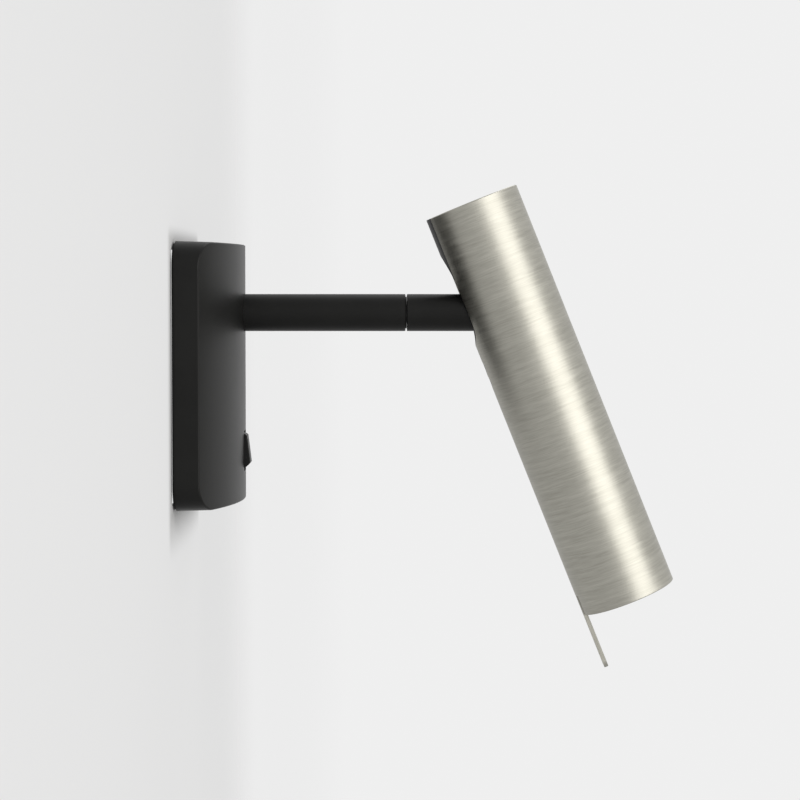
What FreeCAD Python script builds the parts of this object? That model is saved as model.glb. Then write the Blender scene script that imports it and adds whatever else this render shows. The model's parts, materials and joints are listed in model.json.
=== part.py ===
import FreeCAD, Part
import os
import re
import Sketcher

# Bedside wall reading lamp.  Millimetres and degrees.
# The origin is the centre of the backplate's rear face, on the wall.
# +X leads out of the room side of the wall along the arm, +Z is up.
# Head pieces are drawn about the head tube's own axis, with z = 0 at the height of
# the tilt hinge and -x facing the wall, and are then hung on the arm at head_tilt.

SIZES = {
    # backplate: a cast cover with a bowed front, a bracket behind it and a foam seal
    "plate_width": 100.0,
    "plate_height": 90.0,
    "plate_crown": 20.9,
    "plate_edge": 8.75,
    "plate_corner": 9.1,
    "plate_draft": 1.6,
    "cover_wall": 1.6,
    "cover_fit": 0.5,
    "cover_head_sink": 0.2,
    "cover_screw_end": 2.0,
    "boss_top": 0.96,
    "window_lap": 0.1,
    "edge_round": 0.6,
    "gasket_thickness": 0.7,
    "gasket_inset": 0.7,
    "gasket_gap": 0.1,
    "bracket_thickness": 1.5,
    "flange_depth": 8.0,
    "flange_width": 64.0,
    "cover_screw_spacing": 52.0,
    "fixing_spacing": 60.3,
    "fixing_radius": 2.25,
    "entry_radius": 9.0,
    "entry_drop": 4.0,
    # clearances and common fasteners
    "thread_gap": 0.05,
    "running_gap": 0.05,
    "small_screw_radius": 1.5,
    "small_head_radius": 2.6,
    "small_head_height": 1.4,
    "tiny_screw_radius": 1.05,
    "tiny_head_radius": 1.8,
    "tiny_head_height": 0.9,
    "screw_end_gap": 0.2,
    "head_edge_gap": 0.15,
    # how far a cutting or joining shape reaches past the piece it works on
    "overcut": 1.0,
    "fuse_lap": 0.5,
    "tool_lap": 0.01,
    # arm
    "arm_height": 20.8,
    "arm_radius": 6.48,
    "arm_hole_gap": 0.15,
    "wire_radius": 2.0,
    "arm_wire_bore": 3.2,
    "wire_exit_radius": 1.6,
    "saddle_face": 14.0,
    "saddle_sheet": 2.0,
    "saddle_width": 24.0,
    "saddle_height": 17.0,
    "saddle_foot": 7.0,
    "rivet_radius": 1.2,
    "rivet_head_radius": 2.04,
    "rivet_head_height": 0.84,
    "rivet_end_gap": 0.1,
    "stud_radius": 5.0,
    "stud_length": 9.5,
    "nut_radius": 8.6,
    "nut_height": 4.5,
    "lock_washer_radius": 7.6,
    "lock_washer_thickness": 1.0,
    # swivel between rear and front arm
    "seam_place": 77.3,
    "seam_gap": 0.4,
    "bush_radius": 5.55,
    "bush_length": 8.4,
    "spindle_radius": 3.6,
    "spindle_grip": 12.0,
    "spindle_tail": 1.0,
    "socket_room": 1.5,
    "friction_washer_radius": 5.2,
    "friction_washer_thickness": 1.0,
    "swivel_nut_radius": 4.75,
    "swivel_nut_length": 3.4,
    "stop_radius": 0.75,
    "stop_reach": 4.9,
    "tab_reach": 5.35,
    "tab_width": 1.6,
    "set_screw_radius": 1.5,
    # tilt hinge
    "hinge_place": 111.1,
    "head_tilt": 21.87,
    "tilt_limit": 50.0,
    "axis_offset": 3.9,
    "hinge_reach": 7.7,
    "shoulder_length": 2.0,
    "spigot_length": 10.0,
    "tang_thickness": 5.2,
    "tang_radius": 5.8,
    "hinge_bolt_radius": 2.0,
    "hinge_bolt_head": 3.4,
    "hinge_washer_radius": 5.0,
    "hinge_washer_thickness": 0.6,
    "spring_washer_thickness": 0.8,
    "hinge_bolt_head_height": 1.6,
    "hinge_nut_radius": 3.74,
    "hinge_nut_height": 2.4,
    "cheek_thickness": 3.0,
    "cheek_radius": 6.8,
    "carrier_drop": 12.0,
    "carrier_height": 12.0,
    "carrier_screw_top": 3.6,
    "carrier_screw_low": 9.0,
    "carrier_screw_reach": 6.0,
    "carrier_head_sink": 0.1,
    "carrier_wire_place": 8.4,
    # head tube
    "head_radius": 17.0,
    "head_wall": 1.5,
    "head_above": 39.7,
    "head_below": 109.0,
    "rim_chamfer": 0.25,
    "slot_gap": 0.72,
    "slot_cover_gap": 0.35,
    "slot_cover_sink": 0.25,
    "slot_cover_lap": 2.3,
    "slot_lining": 1.4,
    "arm_way_reach": 60.0,
    "inner_fit": 0.1,
    "cap_thickness": 2.2,
    "cap_sink": 0.3,
    # light engine in the lower end of the head
    "bezel_sink": 0.4,
    "bezel_depth": 10.0,
    "bezel_wall": 2.4,
    "bezel_lip": 1.44,
    "lens_thickness": 2.4,
    "lens_gap": 0.3,
    "reflector_height": 12.0,
    "reflector_wall": 1.0,
    "reflector_rim": 1.4,
    "reflector_lip": 0.8,
    "emitter_radius": 4.6,
    "emitter_height": 1.0,
    "emitter_gap": 0.4,
    "board_radius": 11.5,
    "board_thickness": 1.6,
    "board_screw_place": 8.6,
    "sink_length": 30.0,
    "sink_base": 4.0,
    "sink_hole_floor": 0.5,
    "sink_core": 6.4,
    "fin_count": 12,
    "fin_thickness": 1.3,
    "rod_radius": 3.5,
    "rod_grip": 8.0,
    # pull tab at the light end
    "tab_length": 20.2,
    "pull_tab_width": 7.0,
    "pull_tab_thickness": 1.4,
    "pull_tab_root": 7.0,
    "pull_tab_corner": 2.6,
    "pull_tab_gap": 0.15,
    # switch
    "rocker_rise": 17.6,
    "rocker_width": 8.0,
    "rocker_sink": 3.4,
    "rocker_face": 4.95,
    "rocker_end": 6.85,
    "rocker_back": 1.5,
    "rocker_swing": 14.0,
    "rocker_gap": 0.25,
    "rocker_pin": 1.0,
    "pin_seat": 0.6,
    "pin_setback": 0.8,
    "well_floor": 1.6,
    "well_end_gap": 0.2,
    "rocker_round": 0.4,
    "switch_front_gap": 0.25,
    "switch_ear_setback": 2.0,
    "switch_blade_length": 4.5,
    "switch_blade_width": 4.8,
    "switch_blade_thickness": 0.8,
    "switch_blade_spacing": 8.0,
    "switch_depth": 11.0,
    "switch_wall": 1.9,
    "switch_ear": 6.4,
    "switch_ear_thickness": 1.5,
    # driver and terminals
    "driver_saddle_gap": 1.5,
    "driver_length": 24.0,
    "driver_depth": 7.5,
    "driver_side_gap": 5.4,
    "driver_top_gap": 0.4,
    "driver_ear": 5.0,
    "driver_ear_thickness": 2.0,
    "terminal_saddle_gap": 1.5,
    "terminal_length": 12.0,
    "terminal_depth": 8.0,
    "terminal_side_gap": 6.4,
    "terminal_top_gap": 15.4,
    "terminal_end_wall": 4.0,
    "clamp_radius": 1.6,
    "clamp_sink": 0.6,
    "wire_way_radius": 1.28,
    "wire_way_depth": 2.8,
    "earth_rise": 20.9,
    "earth_radius": 2.0,
    "earth_head_radius": 3.6,
    "earth_head_height": 2.2,
    "earth_washer_radius": 4.0,
    "earth_washer_thickness": 0.8,
}

doc = FreeCAD.newDocument("reading_lamp")
sheet = doc.addObject("Spreadsheet::Sheet", "sizes")
for row, (alias, size) in enumerate(SIZES.items(), start=1):
    sheet.set(f"A{row}", alias.replace("_", " "))
    sheet.set(f"B{row}", str(size))
    sheet.setAlias(f"B{row}", alias)
doc.recompute()

NEAR = 0.01  # two places this close are the same when an edge is looked for
ALONG = 0.9  # a straight edge this well in line with an axis counts as running along it
ALIAS = re.compile(r"\b(" + "|".join(SIZES) + r")\b")
nodes = []


# ---- small helpers: every size is text that may name the sheet's sizes ----

def bound(text):
    return ALIAS.sub(r"sizes.\1", str(text))


def number(text):
    return float(sheet.evalExpression(bound(text)))


def bind(obj, **texts):
    for name, text in texts.items():
        obj.setExpression(name, bound(text))
    return obj


def move(obj, x="0", y="0", z="0"):
    for axis, text in zip("xyz", (x, y, z)):
        obj.setExpression(f"Placement.Base.{axis}", bound(text))
    return obj


def block(x, y, z):
    """A box from three (low, high) pairs."""
    obj = doc.addObject("Part::Box", "Block")
    spans = [f"({high}) - ({low})" for low, high in (x, y, z)]
    bind(obj, Length=spans[0], Width=spans[1], Height=spans[2])
    return move(obj, x[0], y[0], z[0])


TURN_TO = {
    "x": FreeCAD.Rotation(FreeCAD.Vector(0, 1, 0), 90),
    "y": FreeCAD.Rotation(FreeCAD.Vector(1, 0, 0), -90),
    "z": FreeCAD.Rotation(),
}


def rod(axis, radius, low, high, across=("0", "0")):
    """A round bar along one axis; across is its place on the other two, in x, y, z order."""
    obj = doc.addObject("Part::Cylinder", "Rod")
    obj.Placement.Rotation = TURN_TO[axis]
    bind(obj, Radius=radius, Height=f"({high}) - ({low})")
    place = list(across)
    place.insert("xyz".index(axis), low)
    return move(obj, *place)


def cone(axis, low_radius, high_radius, low, high, across=("0", "0")):
    obj = doc.addObject("Part::Cone", "Cone")
    obj.Placement.Rotation = TURN_TO[axis]
    bind(obj, Radius1=low_radius, Radius2=high_radius, Height=f"({high}) - ({low})")
    place = list(across)
    place.insert("xyz".index(axis), low)
    return move(obj, *place)


def fuse(*pieces):
    obj = doc.addObject("Part::MultiFuse", "Fuse")
    obj.Shapes = list(pieces)
    obj.Refine = True
    return obj


def cut(base, *tools):
    obj = doc.addObject("Part::Cut", "Cut")
    obj.Base = base
    obj.Tool = tools[0] if len(tools) == 1 else fuse(*tools)
    obj.Refine = True
    return obj


def common(first, second):
    obj = doc.addObject("Part::Common", "Common")
    obj.Base = first
    obj.Tool = second
    return obj


def group(*pieces):
    obj = doc.addObject("Part::Compound", "Group")
    obj.Links = list(pieces)
    return obj


def node(label, obj):
    """A finished piece; its label is the name of its file."""
    obj.Label = label
    nodes.append(obj)
    return obj


def sketch(body, plane, points, offset="0"):
    """A closed outline of straight lines, each corner tied to the sheet."""
    drawing = body.newObject("Sketcher::SketchObject", "Outline")
    support = [item for item in body.Origin.OriginFeatures if item.Role == plane][0]
    drawing.AttachmentSupport = (support, [""])
    drawing.MapMode = "FlatFace"
    drawing.setExpression("AttachmentOffset.Base.z", bound(offset))
    corners = [FreeCAD.Vector(number(x), number(y), 0) for x, y in points]
    count = len(corners)
    for i in range(count):
        drawing.addGeometry(Part.LineSegment(corners[i], corners[(i + 1) % count]))
    for i in range(count):
        drawing.addConstraint(Sketcher.Constraint("Coincident", i, 2, (i + 1) % count, 1))
    for i, (corner, texts) in enumerate(zip(corners, points)):
        for kind, text, value in (("DistanceX", texts[0], corner.x), ("DistanceY", texts[1], corner.y)):
            held = drawing.addConstraint(Sketcher.Constraint(kind, -1, 1, i, 1, value))
            drawing.setExpression(f"Constraints[{held}]", bound(text))
    return drawing


def turned(points, about="z"):
    """A piece turned on a lathe from (along, radius) corners."""
    body = doc.addObject("PartDesign::Body", "Turned")
    outline = points if about == "x" else [(radius, along) for along, radius in points]
    drawing = sketch(body, "XZ_Plane", outline)
    turning = body.newObject("PartDesign::Revolution", "Turning")
    turning.Profile = drawing
    turning.ReferenceAxis = (drawing, ["H_Axis" if about == "x" else "V_Axis"])
    turning.Angle = 360
    return body


def ring(axis, outer, inner, low, high):
    return turned([(low, inner), (low, outer), (high, outer), (high, inner)], axis)


def disc(axis, radius, low, high):
    """A solid round plate turned on a lathe."""
    return turned([(low, "0"), (low, radius), (high, radius), (high, "0")], axis)


def pad(plane, points, low, high, rounded=None, taper=None):
    """A plate of one thickness; rounded is a corner radius for its edges along the thickness."""
    body = doc.addObject("PartDesign::Body", "Plate")
    facing_back = plane == "XZ_Plane"
    drawing = sketch(body, plane, points, f"-({high})" if facing_back else low)
    raised = body.newObject("PartDesign::Pad", "Raised")
    raised.Profile = drawing
    bind(raised, Length=f"({high}) - ({low})")
    if taper:
        bind(raised, TaperAngle=f"-({taper})")
    doc.recompute()
    if rounded:
        normal = {"XZ_Plane": FreeCAD.Vector(0, 1, 0), "YZ_Plane": FreeCAD.Vector(1, 0, 0),
                  "XY_Plane": FreeCAD.Vector(0, 0, 1)}[plane]
        upright = [
            f"Edge{i}" for i, edge in enumerate(raised.Shape.Edges, start=1)
            if abs((edge.Vertexes[-1].Point - edge.Vertexes[0].Point).normalize().dot(normal)) > ALONG
        ]
        rounding = body.newObject("PartDesign::Fillet", "Rounding")
        rounding.Base = (raised, upright)
        bind(rounding, Radius=rounded)
    return body


def rectangle(width, height):
    return [(f"-({width})/2", f"-({height})/2"), (f"({width})/2", f"-({height})/2"),
            (f"({width})/2", f"({height})/2"), (f"-({width})/2", f"({height})/2")]


def hexagon(radius):
    return [(f"({radius})*cos({60 * i})", f"({radius})*sin({60 * i})") for i in range(6)]


def screw(axis, across, seat, head_side, length, radius="small_screw_radius",
          head_radius="small_head_radius", head_height="small_head_height"):
    """A pan head screw: head_side is 1 when its head points along +axis."""
    if head_side > 0:
        shank = rod(axis, radius, f"({seat}) - ({length})", seat, across)
        head = rod(axis, head_radius, seat, f"({seat}) + {head_height}", across)
    else:
        shank = rod(axis, radius, seat, f"({seat}) + ({length})", across)
        head = rod(axis, head_radius, f"({seat}) - {head_height}", seat, across)
    return fuse(shank, head)


def place_text(x, z, angle):
    return (f"create(<<placement>>; create(<<vector>>; {x}; 0; {z}); "
            f"create(<<rotation>>; create(<<vector>>; 0; -1; 0); {angle}))")


ON_ARM = place_text("0", "arm_height", "0")
ON_HEAD = (place_text("hinge_place", "arm_height", "head_tilt") + " * "
           + place_text("axis_offset", "0", "0"))


def place(obj, text):
    obj.setExpression("Placement", bound(text))
    return obj


# ---- backplate ----

FRONT_RADIUS = ("((plate_width/2)^2 + (plate_crown - plate_edge)^2)"
                "/(2*(plate_crown - plate_edge))")
BRACKET_WIDTH = "(plate_width - 2*cover_wall - 2*cover_fit)"
BRACKET_HEIGHT = "(plate_height - 2*cover_wall - 2*cover_fit)"
FLANGE_FACE = f"({BRACKET_HEIGHT}/2)"
COVER_SCREW_DEPTH = "(flange_depth/2 + gasket_thickness)"
SCREW_PLACES = ["-cover_screw_spacing/2", "cover_screw_spacing/2"]
SWITCH_HALF_LENGTH = "(rocker_end + rocker_gap)"
SWITCH_FRONT = "(plate_crown - cover_wall - switch_front_gap)"
ROCKER_PLACE = "(plate_crown - rocker_sink)"
ROCKER_HEIGHT = "(rocker_rise - plate_height/2)"
SWITCH_HALF_WIDTH = "(rocker_width/2 + rocker_gap + switch_wall)"
EAR_SCREW = f"({SWITCH_HALF_WIDTH} + switch_ear/2)"
EAR_BACK = f"({SWITCH_FRONT} - switch_ear_setback - switch_ear_thickness)"


def bowed_block(inset, start):
    """The cover's outside, or with inset its inside: a drafted block under a bowed front."""
    tapered = pad("YZ_Plane", rectangle(f"plate_width - 2*{inset}", f"plate_height - 2*{inset}"),
                  start, "plate_crown + 2*overcut", rounded=f"plate_corner - {inset}", taper="plate_draft")
    bow = rod("z", f"{FRONT_RADIUS} - {inset}", "-plate_height", "plate_height",
              (f"plate_crown - {FRONT_RADIUS}", "0"))
    return common(tapered, bow)


def backplate_cover():
    outside = bowed_block("0", "gasket_thickness")
    doc.recompute()
    bow_radius = number(FRONT_RADIUS)
    front = [face for face in outside.Shape.Faces
             if isinstance(face.Surface, Part.Cylinder) and abs(face.Surface.Radius - bow_radius) < NEAR]
    front_edges = [edge for face in front for edge in face.OuterWire.Edges]
    rounded = doc.addObject("Part::Fillet", "FrontRound")
    rounded.Base = outside
    radius = number("edge_round")
    rounded.Edges = [
        (i, radius, radius) for i, edge in enumerate(outside.Shape.Edges, start=1)
        if any(edge.isSame(other) for other in front_edges)
    ]
    shell = cut(rounded, bowed_block("cover_wall", "-overcut"))
    bosses = [rod("x", "small_head_radius", f"{EAR_BACK} + switch_ear_thickness",
                  "plate_crown - boss_top", (f"{side}*{EAR_SCREW}", ROCKER_HEIGHT)) for side in (-1, 1)]
    cuts = [
        rod("x", "arm_radius + arm_hole_gap", "saddle_face", "plate_crown + 2*overcut", ("0", "arm_height")),
        block(("plate_crown - 2*cover_wall", "plate_crown + 2*overcut"),
              ("-rocker_width/2 - rocker_gap", "rocker_width/2 + rocker_gap"),
              (f"{ROCKER_HEIGHT} - {SWITCH_HALF_LENGTH} + window_lap", f"{ROCKER_HEIGHT} + {SWITCH_HALF_LENGTH} - window_lap")),
    ]
    for side in (-1, 1):
        cuts.append(rod("x", "tiny_screw_radius + thread_gap", EAR_BACK,
                        f"{EAR_BACK} + switch_ear_thickness + switch_ear_setback",
                        (f"{side}*{EAR_SCREW}", ROCKER_HEIGHT)))
    for y in SCREW_PLACES:
        cuts.append(rod("z", "small_screw_radius + thread_gap", "-plate_height", f"-{FLANGE_FACE}",
                        (COVER_SCREW_DEPTH, y)))
        cuts.append(cone("z", "small_head_radius + thread_gap", "small_screw_radius + thread_gap",
                         "-plate_height/2 + cover_head_sink",
                         "-plate_height/2 + cover_head_sink + small_head_height",
                         (COVER_SCREW_DEPTH, y)))
        cuts.append(rod("z", "small_head_radius + thread_gap", "-plate_height",
                        "-plate_height/2 + cover_head_sink + tool_lap", (COVER_SCREW_DEPTH, y)))
    return cut(fuse(shell, *bosses), *cuts)


def cover_screws():
    pieces = []
    for y in SCREW_PLACES:
        head_face = "(-plate_height/2 + cover_head_sink + screw_end_gap)"
        head = cone("z", "small_head_radius - head_edge_gap", "small_screw_radius", head_face,
                    f"{head_face} + small_head_height - screw_end_gap", (COVER_SCREW_DEPTH, y))
        shank = rod("z", "small_screw_radius", f"{head_face} + small_head_height - screw_end_gap - head_edge_gap",
                    f"-{FLANGE_FACE} + bracket_thickness + cover_screw_end", (COVER_SCREW_DEPTH, y))
        pieces.append(fuse(head, shank))
    return group(*pieces)


def wall_gasket():
    outer = pad("YZ_Plane", rectangle("plate_width - 2*gasket_inset", "plate_height - 2*gasket_inset"),
                "0", "gasket_thickness", rounded="plate_corner - gasket_inset")
    inner = pad("YZ_Plane", rectangle(f"{BRACKET_WIDTH} + 2*gasket_gap", f"{BRACKET_HEIGHT} + 2*gasket_gap"),
                "-overcut", "gasket_thickness + overcut", rounded="plate_corner - cover_wall - cover_fit")
    return cut(outer, inner)


DRIVER_EAR_SCREW = "(driver_length/2 + driver_ear/2)"
FLANGE_INSIDE = f"({FLANGE_FACE} - bracket_thickness)"
FOOT_END = "(saddle_width/2 + saddle_foot)"
DRIVER_WIDTH = f"({BRACKET_WIDTH}/2 - driver_side_gap - {FOOT_END} - driver_saddle_gap)"
DRIVER_PLACE = f"({BRACKET_WIDTH}/2 - driver_side_gap - {DRIVER_WIDTH}/2)"
DRIVER_HEIGHT = f"({FLANGE_INSIDE} - driver_top_gap - driver_ear - driver_length/2)"
TERMINAL_WIDTH = f"({BRACKET_WIDTH}/2 - terminal_side_gap - {FOOT_END} - terminal_saddle_gap)"
TERMINAL_PLACE = f"({BRACKET_WIDTH}/2 - terminal_side_gap - {TERMINAL_WIDTH}/2)"
TERMINAL_PITCH = f"({TERMINAL_WIDTH}/2 - terminal_end_wall)"
TERMINAL_HEIGHT = f"({FLANGE_INSIDE} - terminal_top_gap - terminal_length/2)"
EARTH_PLACE = (TERMINAL_PLACE, f"-({FLANGE_FACE} - earth_rise)")
TERMINAL_WAYS = [f"-{TERMINAL_PITCH}", "0", TERMINAL_PITCH]
TERMINAL_FIXINGS = [f"-{TERMINAL_PITCH}/2", f"{TERMINAL_PITCH}/2"]
FOOT_PLACE = "(saddle_width/2 + saddle_foot/2)"
RIVET_PLACES = [(side, lift) for side in (-1, 1) for lift in (-1, 1)]


def mounting_bracket():
    sheet_metal = pad("YZ_Plane", rectangle(BRACKET_WIDTH, BRACKET_HEIGHT), "0", "bracket_thickness",
                      rounded="plate_corner - cover_wall - cover_fit")
    flanges = [
        block(("0", "flange_depth"), ("-flange_width/2", "flange_width/2"),
              (f"-{FLANGE_FACE}", f"-{FLANGE_FACE} + bracket_thickness")),
        block(("0", "flange_depth"), ("-flange_width/2", "flange_width/2"),
              (f"{FLANGE_FACE} - bracket_thickness", FLANGE_FACE)),
    ]
    through = ("-overcut", "bracket_thickness + overcut")
    holes = [rod("x", "entry_radius", *through, ("0", "-entry_drop"))]
    for side in (-1, 1):
        holes.append(rod("x", "fixing_radius", *through, (f"{side}*fixing_spacing/2", "0")))
        holes.append(rod("x", "small_screw_radius + thread_gap", *through,
                         (f"-{DRIVER_PLACE}", f"{DRIVER_HEIGHT} + {side}*{DRIVER_EAR_SCREW}")))
    for y in TERMINAL_FIXINGS:
        holes.append(rod("x", "tiny_screw_radius + thread_gap", *through,
                         (f"{TERMINAL_PLACE} + {y}", TERMINAL_HEIGHT)))
    holes.append(rod("x", "earth_radius + thread_gap", *through, EARTH_PLACE))
    for side, lift in RIVET_PLACES:
        holes.append(rod("x", "rivet_radius + thread_gap", *through,
                         (f"{side}*{FOOT_PLACE}", f"arm_height + {lift}*saddle_height/4")))
    for y in SCREW_PLACES:
        holes.append(rod("z", "small_screw_radius + thread_gap", f"-{FLANGE_FACE} - overcut",
                         f"-{FLANGE_FACE} + bracket_thickness + overcut", (COVER_SCREW_DEPTH, y)))
    return cut(fuse(sheet_metal, *flanges), *holes)


def arm_saddle():
    half = "saddle_width/2"
    foot = f"({half} + saddle_foot)"
    low = "bracket_thickness"
    step = f"({low} + saddle_sheet)"
    outline = [
        (low, f"-{foot}"), (step, f"-{foot}"), (step, f"-({half})"), ("saddle_face", f"-({half})"),
        ("saddle_face", half), (step, half), (step, foot), (low, foot),
        (low, f"{half} - saddle_sheet"), ("saddle_face - saddle_sheet", f"{half} - saddle_sheet"),
        ("saddle_face - saddle_sheet", f"-({half} - saddle_sheet)"), (low, f"-({half} - saddle_sheet)"),
    ]
    hat = pad("XY_Plane", outline, "arm_height - saddle_height/2", "arm_height + saddle_height/2")
    holes = [rod("x", "stud_radius + thread_gap", "bracket_thickness", "saddle_face + overcut",
                 ("0", "arm_height"))]
    for side, lift in RIVET_PLACES:
        holes.append(rod("x", "rivet_radius + thread_gap", "0", f"{step} + overcut",
                         (f"{side}*{FOOT_PLACE}", f"arm_height + {lift}*saddle_height/4")))
    return cut(hat, *holes)


def saddle_rivets():
    face = "(bracket_thickness + saddle_sheet)"
    return group(*[
        screw("x", (f"{side}*{FOOT_PLACE}", f"arm_height + {lift}*saddle_height/4"), face, 1,
              f"{face} - rivet_end_gap", "rivet_radius", "rivet_head_radius", "rivet_head_height")
        for side, lift in RIVET_PLACES
    ])


def led_driver():
    low = "bracket_thickness"
    height = (f"{DRIVER_HEIGHT} - driver_length/2", f"{DRIVER_HEIGHT} + driver_length/2")
    case = block((low, f"{low} + driver_depth"),
                 (f"-{DRIVER_PLACE} - {DRIVER_WIDTH}/2", f"-{DRIVER_PLACE} + {DRIVER_WIDTH}/2"), height)
    ears = block((low, f"{low} + driver_ear_thickness"),
                 (f"-{DRIVER_PLACE} - driver_ear", f"-{DRIVER_PLACE} + driver_ear"),
                 (f"{height[0]} - driver_ear", f"{height[1]} + driver_ear"))
    holes = [rod("x", "small_screw_radius + thread_gap", low, f"{low} + driver_ear_thickness + overcut",
                 (f"-{DRIVER_PLACE}", f"{DRIVER_HEIGHT} + {side}*{DRIVER_EAR_SCREW}")) for side in (-1, 1)]
    return cut(fuse(case, ears), *holes)


def driver_screws():
    seat = "(bracket_thickness + driver_ear_thickness)"
    return group(*[
        screw("x", (f"-{DRIVER_PLACE}", f"{DRIVER_HEIGHT} + {side}*{DRIVER_EAR_SCREW}"), seat, 1,
              f"{seat} - screw_end_gap", head_radius="(driver_ear/2 - screw_end_gap)") for side in (-1, 1)
    ])


def terminal_block():
    low = "bracket_thickness"
    top = f"({low} + terminal_depth)"
    body = block((low, top),
                 (f"{TERMINAL_PLACE} - {TERMINAL_WIDTH}/2", f"{TERMINAL_PLACE} + {TERMINAL_WIDTH}/2"),
                 (f"{TERMINAL_HEIGHT} - terminal_length/2", f"{TERMINAL_HEIGHT} + terminal_length/2"))
    holes = []
    for y in TERMINAL_WAYS:
        for lift in (-1, 1):
            holes.append(rod("x", "clamp_radius + thread_gap", f"{low} + terminal_depth/2", f"{top} + overcut",
                             (f"{TERMINAL_PLACE} + {y}", f"{TERMINAL_HEIGHT} + {lift}*terminal_length/4")))
        holes.append(rod("z", "wire_way_radius", f"{TERMINAL_HEIGHT} - terminal_length",
                         f"{TERMINAL_HEIGHT} + terminal_length",
                         (f"{low} + wire_way_depth", f"{TERMINAL_PLACE} + {y}")))
    for y in TERMINAL_FIXINGS:
        holes.append(rod("x", "tiny_screw_radius + thread_gap", low, f"{top} + overcut",
                         (f"{TERMINAL_PLACE} + {y}", TERMINAL_HEIGHT)))
    return cut(body, *holes)


def terminal_screws():
    low = "bracket_thickness"
    return group(*[
        rod("x", "clamp_radius", f"{low} + terminal_depth/2", f"{low} + terminal_depth - clamp_sink",
            (f"{TERMINAL_PLACE} + {y}", f"{TERMINAL_HEIGHT} + {lift}*terminal_length/4"))
        for y in TERMINAL_WAYS for lift in (-1, 1)
    ])


def terminal_fixing_screws():
    seat = "(bracket_thickness + terminal_depth)"
    return group(*[
        screw("x", (f"{TERMINAL_PLACE} + {y}", TERMINAL_HEIGHT), seat, 1, f"{seat} - screw_end_gap",
              "tiny_screw_radius", "tiny_head_radius", "tiny_head_height") for y in TERMINAL_FIXINGS
    ])


def earth_washer():
    washer = rod("x", "earth_washer_radius", "bracket_thickness", "bracket_thickness + earth_washer_thickness",
                 EARTH_PLACE)
    hole = rod("x", "earth_radius + thread_gap", "0", "bracket_thickness + 2*overcut",
               EARTH_PLACE)
    return cut(washer, hole)


def earth_screw():
    seat = "(bracket_thickness + earth_washer_thickness)"
    return screw("x", EARTH_PLACE, seat, 1, f"{seat} - screw_end_gap", "earth_radius",
                 "earth_head_radius", "earth_head_height")


# ---- switch ----

def switch_body():
    back = f"({SWITCH_FRONT} - switch_depth)"
    half_length = f"({SWITCH_HALF_LENGTH} + switch_wall)"
    case = block((back, SWITCH_FRONT), (f"-{SWITCH_HALF_WIDTH}", SWITCH_HALF_WIDTH),
                 (f"{ROCKER_HEIGHT} - {half_length}", f"{ROCKER_HEIGHT} + {half_length}"))
    ears = block((EAR_BACK, f"{EAR_BACK} + switch_ear_thickness"),
                 (f"-{SWITCH_HALF_WIDTH} - switch_ear", f"{SWITCH_HALF_WIDTH} + switch_ear"),
                 (f"{ROCKER_HEIGHT} - switch_ear/2", f"{ROCKER_HEIGHT} + switch_ear/2"))
    well = block((f"{ROCKER_PLACE} - rocker_back - well_floor", "plate_crown"),
                 ("-rocker_width/2 - rocker_gap", "rocker_width/2 + rocker_gap"),
                 (f"{ROCKER_HEIGHT} - {SWITCH_HALF_LENGTH} - well_end_gap", f"{ROCKER_HEIGHT} + {SWITCH_HALF_LENGTH} + well_end_gap"))
    pivot = rod("y", "rocker_pin + running_gap", f"-{SWITCH_HALF_WIDTH} + pin_seat",
                f"{SWITCH_HALF_WIDTH} - pin_seat", (ROCKER_PLACE, ROCKER_HEIGHT))
    holes = [rod("x", "tiny_screw_radius + thread_gap", f"{EAR_BACK} - overcut",
                 f"{EAR_BACK} + switch_ear_thickness + overcut", (f"{side}*{EAR_SCREW}", ROCKER_HEIGHT)) for side in (-1, 1)]
    return cut(fuse(case, ears), well, pivot, *holes)


def switch_screws():
    return group(*[
        screw("x", (f"{side}*{EAR_SCREW}", ROCKER_HEIGHT), EAR_BACK, -1,
              "switch_ear_thickness + switch_ear_setback - screw_end_gap",
              "tiny_screw_radius", "tiny_head_radius", "tiny_head_height") for side in (-1, 1)
    ])


def switch_terminals():
    back = f"({SWITCH_FRONT} - switch_depth)"
    pieces = []
    for side in (-1, 1):
        height = f"({ROCKER_HEIGHT} + {side}*switch_blade_spacing/2)"
        pieces.append(block((f"{back} - switch_blade_length", back),
                            ("-switch_blade_width/2", "switch_blade_width/2"),
                            (f"{height} - switch_blade_thickness/2", f"{height} + switch_blade_thickness/2")))
    return group(*pieces)


def rocker_paddle():
    slab = pad("XZ_Plane", [("-rocker_back", "-rocker_end"), ("rocker_face", "-rocker_end"),
                            ("rocker_face", "rocker_end"), ("-rocker_back", "rocker_end")],
               "-rocker_width/2", "rocker_width/2")
    ends = rod("y", "rocker_end", "-rocker_width", "rocker_width")
    paddle = common(slab, ends)
    doc.recompute()
    face = number("rocker_face")
    soft = doc.addObject("Part::Fillet", "PaddleRound")
    soft.Base = paddle
    radius = number("rocker_round")
    soft.Edges = [(i, radius, radius) for i, edge in enumerate(paddle.Shape.Edges, start=1)
                  if all(abs(vertex.X - face) < NEAR for vertex in edge.Vertexes)]
    pins = rod("y", "rocker_pin", f"-{SWITCH_HALF_WIDTH} + pin_setback", f"{SWITCH_HALF_WIDTH} - pin_setback")
    return place(fuse(soft, pins), place_text(ROCKER_PLACE, ROCKER_HEIGHT, "rocker_swing/2"))


# ---- arm: drawn about its own axis ----

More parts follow.
